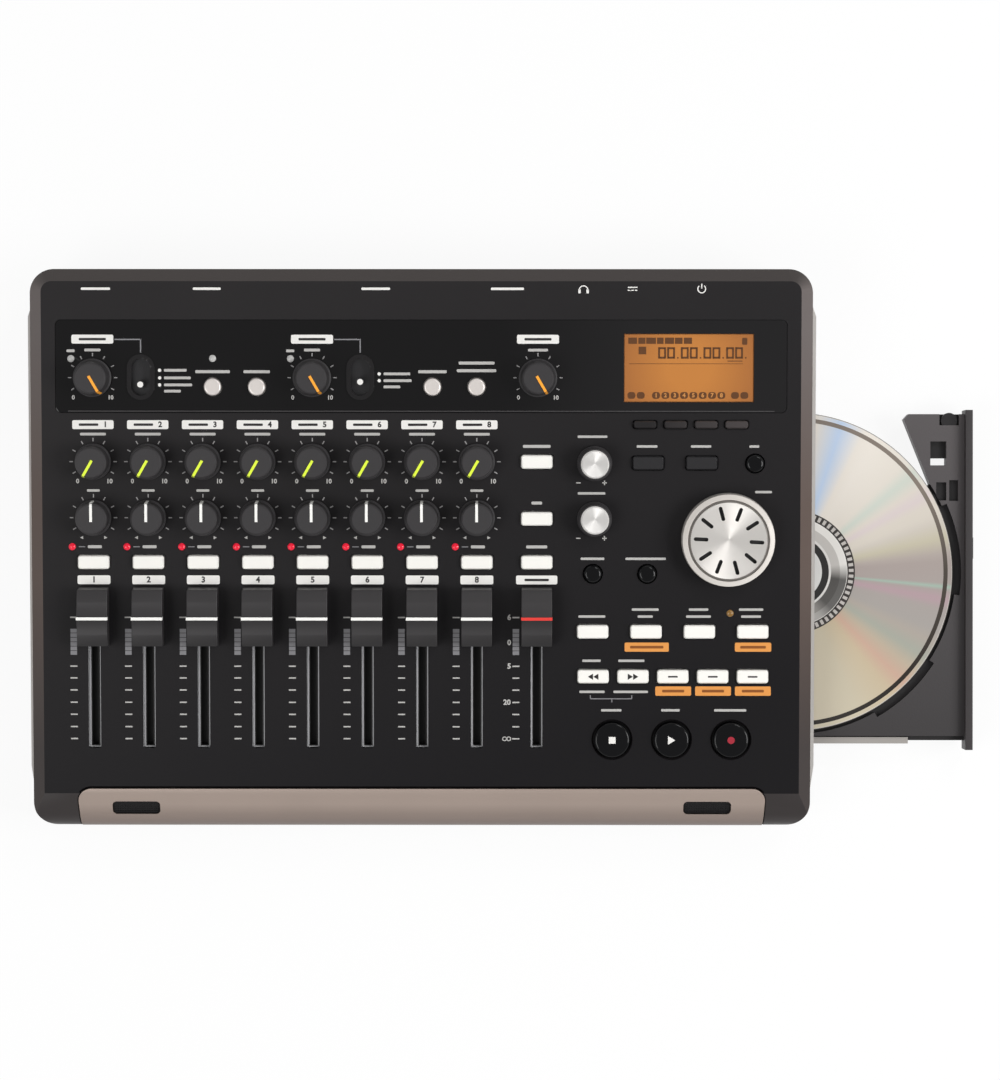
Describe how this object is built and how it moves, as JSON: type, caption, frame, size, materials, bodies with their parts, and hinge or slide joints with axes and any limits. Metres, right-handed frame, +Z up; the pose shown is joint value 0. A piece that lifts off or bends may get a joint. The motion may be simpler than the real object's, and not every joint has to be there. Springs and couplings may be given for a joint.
{
  "type": "digital multitrack recorder",
  "caption": "Desktop multitrack recorder: sloped panel with faders, knobs, keys, a display and a data wheel, a slim disc tray in the right side and sockets in a rear niche.",
  "frame": {"origin": "on the desk, under the middle of the case between the four feet", "axes": "+X to the right, the way the tray comes out; +Y to the rear sockets; +Z up"},
  "size_m": [0.3548, 0.2072, 0.052],
  "materials": {
    "case_plastic": "fine grain",
    "tub_plastic": "fine grain",
    "trim_metal": "satin",
    "black_mesh": "matt",
    "inset_gloss": "gloss",
    "lcd_glass": "gloss",
    "board": "satin",
    "socket_plastic": "satin",
    "sheet_steel": "brushed",
    "foot_rubber": "matt",
    "tray_plastic": "satin",
    "disc_plastic": "mirror",
    "knob_plastic": "satin",
    "wheel_metal": "spun",
    "white_key": "satin",
    "dark_key": "satin"
  },
  "bodies": {
    "case": {"bottom_case": "tub_plastic", "top_case": "case_plastic", "front_trim": "trim_metal", "mic_grilles": "black_mesh", "inset_panel": "inset_gloss", "lcd_module": "lcd_glass", "control_board": "board", "main_board": "board", "rear_panel": "case_plastic", "rear_jacks": "socket_plastic", "drive_chassis": "sheet_steel", "rubber_feet": "foot_rubber", "case_screws": "sheet_steel"},
    "tray": {"disc_tray": "tray_plastic", "tray_bezel": "tray_plastic"},
    "runner": {"tray_runner": "sheet_steel"},
    "disc_stack": {"spindle_hub": "sheet_steel", "disc": "disc_plastic"},
    "eject": {"eject_button": "dark_key"},
    "track_fader_1": {"track_fader_1": "knob_plastic"},
    "track_fader_2": {"track_fader_2": "knob_plastic"},
    "track_fader_3": {"track_fader_3": "knob_plastic"},
    "track_fader_4": {"track_fader_4": "knob_plastic"},
    "track_fader_5": {"track_fader_5": "knob_plastic"},
    "track_fader_6": {"track_fader_6": "knob_plastic"},
    "track_fader_7": {"track_fader_7": "knob_plastic"},
    "track_fader_8": {"track_fader_8": "knob_plastic"},
    "master_fader": {"master_fader": "knob_plastic"},
    "reverb_knob_1": {"reverb_knob_1": "knob_plastic"},
    "reverb_knob_2": {"reverb_knob_2": "knob_plastic"},
    "reverb_knob_3": {"reverb_knob_3": "knob_plastic"},
    "reverb_knob_4": {"reverb_knob_4": "knob_plastic"},
    "reverb_knob_5": {"reverb_knob_5": "knob_plastic"},
    "reverb_knob_6": {"reverb_knob_6": "knob_plastic"},
    "reverb_knob_7": {"reverb_knob_7": "knob_plastic"},
    "reverb_knob_8": {"reverb_knob_8": "knob_plastic"},
    "pan_knob_1": {"pan_knob_1": "knob_plastic"},
    "pan_knob_2": {"pan_knob_2": "knob_plastic"},
    "pan_knob_3": {"pan_knob_3": "knob_plastic"},
    "pan_knob_4": {"pan_knob_4": "knob_plastic"},
    "pan_knob_5": {"pan_knob_5": "knob_plastic"},
    "pan_knob_6": {"pan_knob_6": "knob_plastic"},
    "pan_knob_7": {"pan_knob_7": "knob_plastic"},
    "pan_knob_8": {"pan_knob_8": "knob_plastic"},
    "trim_a_knob": {"trim_a_knob": "knob_plastic"},
    "trim_b_knob": {"trim_b_knob": "knob_plastic"},
    "phones_level_knob": {"phones_level_knob": "knob_plastic"},
    "eq_high_knob": {"eq_high_knob": "knob_plastic"},
    "eq_low_knob": {"eq_low_knob": "knob_plastic"},
    "data_wheel": {"data_wheel": "wheel_metal"},
    "input_a_switch": {"input_a_switch": "white_key"},
    "input_b_switch": {"input_b_switch": "white_key"},
    "stop_key": {"stop_key": "dark_key"},
    "play_key": {"play_key": "dark_key"},
    "record_key": {"record_key": "dark_key"},
    "track_keys": {"track_keys": "white_key"},
    "locate_keys": {"locate_keys": "white_key"},
    "input_keys": {"input_keys": "white_key"},
    "menu_keys": {"menu_keys": "dark_key"},
    "power_button": {"power_button": "dark_key"}
  },
  "joints": [
    {"name": "tray_slide", "type": "slide", "parent": "case", "child": "tray", "axis": [1, 0, 0], "range_m": [-0.06, 0.07]},
    {"name": "runner_slide", "type": "slide", "parent": "case", "child": "runner", "axis": [1, 0, 0], "range_m": [-0.04, 0.04667]},
    {"name": "disc_spin", "type": "hinge", "parent": "tray", "child": "disc_stack", "pos_m": [0.1398, -0.0087, 0.0118], "axis": [0, 0, 1], "continuous": true},
    {"name": "eject_press", "type": "slide", "parent": "tray", "child": "eject", "axis": [-1, 0, 0], "range_m": [0, 0.0008], "stiffness_N_per_m": 50, "springref_m": -0.001},
    {"name": "track_fader_1_slide", "type": "slide", "parent": "case", "child": "track_fader_1", "axis": [0, 0.9976, 0.0698], "range_m": [-0.045, 0]},
    {"name": "track_fader_2_slide", "type": "slide", "parent": "case", "child": "track_fader_2", "axis": [0, 0.9976, 0.0698], "range_m": [-0.045, 0]},
    {"name": "track_fader_3_slide", "type": "slide", "parent": "case", "child": "track_fader_3", "axis": [0, 0.9976, 0.0698], "range_m": [-0.045, 0]},
    {"name": "track_fader_4_slide", "type": "slide", "parent": "case", "child": "track_fader_4", "axis": [0, 0.9976, 0.0698], "range_m": [-0.045, 0]},
    {"name": "track_fader_5_slide", "type": "slide", "parent": "case", "child": "track_fader_5", "axis": [0, 0.9976, 0.0698], "range_m": [-0.045, 0]},
    {"name": "track_fader_6_slide", "type": "slide", "parent": "case", "child": "track_fader_6", "axis": [0, 0.9976, 0.0698], "range_m": [-0.045, 0]},
    {"name": "track_fader_7_slide", "type": "slide", "parent": "case", "child": "track_fader_7", "axis": [0, 0.9976, 0.0698], "range_m": [-0.045, 0]},
    {"name": "track_fader_8_slide", "type": "slide", "parent": "case", "child": "track_fader_8", "axis": [0, 0.9976, 0.0698], "range_m": [-0.045, 0]},
    {"name": "master_fader_slide", "type": "slide", "parent": "case", "child": "master_fader", "axis": [0, 0.9976, 0.0698], "range_m": [-0.045, 0]},
    {"name": "reverb_knob_1_turn", "type": "hinge", "parent": "case", "child": "reverb_knob_1", "pos_m": [-0.1215, 0.03222, 0.03975], "axis": [0, -0.0698, 0.9976], "range_deg": [-300, 0]},
    {"name": "reverb_knob_2_turn", "type": "hinge", "parent": "case", "child": "reverb_knob_2", "pos_m": [-0.1012, 0.03222, 0.03975], "axis": [0, -0.0698, 0.9976], "range_deg": [-300, 0]},
    {"name": "reverb_knob_3_turn", "type": "hinge", "parent": "case", "child": "reverb_knob_3", "pos_m": [-0.0809, 0.03222, 0.03975], "axis": [0, -0.0698, 0.9976], "range_deg": [-300, 0]},
    {"name": "reverb_knob_4_turn", "type": "hinge", "parent": "case", "child": "reverb_knob_4", "pos_m": [-0.0606, 0.03222, 0.03975], "axis": [0, -0.0698, 0.9976], "range_deg": [-300, 0]},
    {"name": "reverb_knob_5_turn", "type": "hinge", "parent": "case", "child": "reverb_knob_5", "pos_m": [-0.0403, 0.03222, 0.03975], "axis": [0, -0.0698, 0.9976], "range_deg": [-300, 0]},
    {"name": "reverb_knob_6_turn", "type": "hinge", "parent": "case", "child": "reverb_knob_6", "pos_m": [-0.02, 0.03222, 0.03975], "axis": [0, -0.0698, 0.9976], "range_deg": [-300, 0]},
    {"name": "reverb_knob_7_turn", "type": "hinge", "parent": "case", "child": "reverb_knob_7", "pos_m": [0.0003, 0.03222, 0.03975], "axis": [0, -0.0698, 0.9976], "range_deg": [-300, 0]},
    {"name": "reverb_knob_8_turn", "type": "hinge", "parent": "case", "child": "reverb_knob_8", "pos_m": [0.0206, 0.03222, 0.03975], "axis": [0, -0.0698, 0.9976], "range_deg": [-300, 0]},
    {"name": "pan_knob_1_turn", "type": "hinge", "parent": "case", "child": "pan_knob_1", "pos_m": [-0.1215, 0.01147, 0.0383], "axis": [0, -0.0698, 0.9976], "range_deg": [-150, 150]},
    {"name": "pan_knob_2_turn", "type": "hinge", "parent": "case", "child": "pan_knob_2", "pos_m": [-0.1012, 0.01147, 0.0383], "axis": [0, -0.0698, 0.9976], "range_deg": [-150, 150]},
    {"name": "pan_knob_3_turn", "type": "hinge", "parent": "case", "child": "pan_knob_3", "pos_m": [-0.0809, 0.01147, 0.0383], "axis": [0, -0.0698, 0.9976], "range_deg": [-150, 150]},
    {"name": "pan_knob_4_turn", "type": "hinge", "parent": "case", "child": "pan_knob_4", "pos_m": [-0.0606, 0.01147, 0.0383], "axis": [0, -0.0698, 0.9976], "range_deg": [-150, 150]},
    {"name": "pan_knob_5_turn", "type": "hinge", "parent": "case", "child": "pan_knob_5", "pos_m": [-0.0403, 0.01147, 0.0383], "axis": [0, -0.0698, 0.9976], "range_deg": [-150, 150]},
    {"name": "pan_knob_6_turn", "type": "hinge", "parent": "case", "child": "pan_knob_6", "pos_m": [-0.02, 0.01147, 0.0383], "axis": [0, -0.0698, 0.9976], "range_deg": [-150, 150]},
    {"name": "pan_knob_7_turn", "type": "hinge", "parent": "case", "child": "pan_knob_7", "pos_m": [0.0003, 0.01147, 0.0383], "axis": [0, -0.0698, 0.9976], "range_deg": [-150, 150]},
    {"name": "pan_knob_8_turn", "type": "hinge", "parent": "case", "child": "pan_knob_8", "pos_m": [0.0206, 0.01147, 0.0383], "axis": [0, -0.0698, 0.9976], "range_deg": [-150, 150]},
    {"name": "trim_a_knob_turn", "type": "hinge", "parent": "case", "child": "trim_a_knob", "pos_m": [-0.1215, 0.06325, 0.04192], "axis": [0, -0.0698, 0.9976], "range_deg": [0, 300]},
    {"name": "trim_b_knob_turn", "type": "hinge", "parent": "case", "child": "trim_b_knob", "pos_m": [-0.0403, 0.06325, 0.04192], "axis": [0, -0.0698, 0.9976], "range_deg": [0, 300]},
    {"name": "phones_level_knob_turn", "type": "hinge", "parent": "case", "child": "phones_level_knob", "pos_m": [0.0432, 0.06325, 0.04192], "axis": [0, -0.0698, 0.9976], "range_deg": [0, 300]},
    {"name": "eq_high_knob_turn", "type": "hinge", "parent": "case", "child": "eq_high_knob", "pos_m": [0.0642, 0.03162, 0.03971], "axis": [0, -0.0698, 0.9976], "continuous": true},
    {"name": "eq_low_knob_turn", "type": "hinge", "parent": "case", "child": "eq_low_knob", "pos_m": [0.0642, 0.01107, 0.03827], "axis": [0, -0.0698, 0.9976], "continuous": true},
    {"name": "data_wheel_turn", "type": "hinge", "parent": "case", "child": "data_wheel", "pos_m": [0.1136, 0.00359, 0.03775], "axis": [0, -0.0698, 0.9976], "continuous": true},
    {"name": "input_a_switch_slide", "type": "slide", "parent": "case", "child": "input_a_switch", "axis": [0, 0.9976, 0.0698], "range_m": [0, 0.0054]},
    {"name": "input_b_switch_slide", "type": "slide", "parent": "case", "child": "input_b_switch", "axis": [0, 0.9976, 0.0698], "range_m": [0, 0.0025]},
    {"name": "stop_key_press", "type": "slide", "parent": "case", "child": "stop_key", "axis": [0, -0.0698, 0.9976], "range_m": [-0.0008, 0], "stiffness_N_per_m": 100, "springref_m": 0.001},
    {"name": "play_key_press", "type": "slide", "parent": "case", "child": "play_key", "axis": [0, -0.0698, 0.9976], "range_m": [-0.0008, 0], "stiffness_N_per_m": 100, "springref_m": 0.001},
    {"name": "record_key_press", "type": "slide", "parent": "case", "child": "record_key", "axis": [0, -0.0698, 0.9976], "range_m": [-0.0008, 0], "stiffness_N_per_m": 100, "springref_m": 0.001},
    {"name": "track_keys_press", "type": "slide", "parent": "case", "child": "track_keys", "axis": [0, -0.0698, 0.9976], "range_m": [-0.0008, 0], "stiffness_N_per_m": 100, "springref_m": 0.001},
    {"name": "locate_keys_press", "type": "slide", "parent": "case", "child": "locate_keys", "axis": [0, -0.0698, 0.9976], "range_m": [-0.0008, 0], "stiffness_N_per_m": 100, "springref_m": 0.001},
    {"name": "input_keys_press", "type": "slide", "parent": "case", "child": "input_keys", "axis": [0, -0.0698, 0.9976], "range_m": [-0.0008, 0], "stiffness_N_per_m": 100, "springref_m": 0.001},
    {"name": "menu_keys_press", "type": "slide", "parent": "case", "child": "menu_keys", "axis": [0, -0.0698, 0.9976], "range_m": [-0.0008, 0], "stiffness_N_per_m": 100, "springref_m": 0.001},
    {"name": "power_button_press", "type": "slide", "parent": "case", "child": "power_button", "axis": [0, -1, 0], "range_m": [0, 0.001], "stiffness_N_per_m": 100, "springref_m": -0.001}
  ],
  "couplings": [
    {"joint": "runner_slide", "follows": "tray_slide", "ratio": 0.6667}
  ]
}
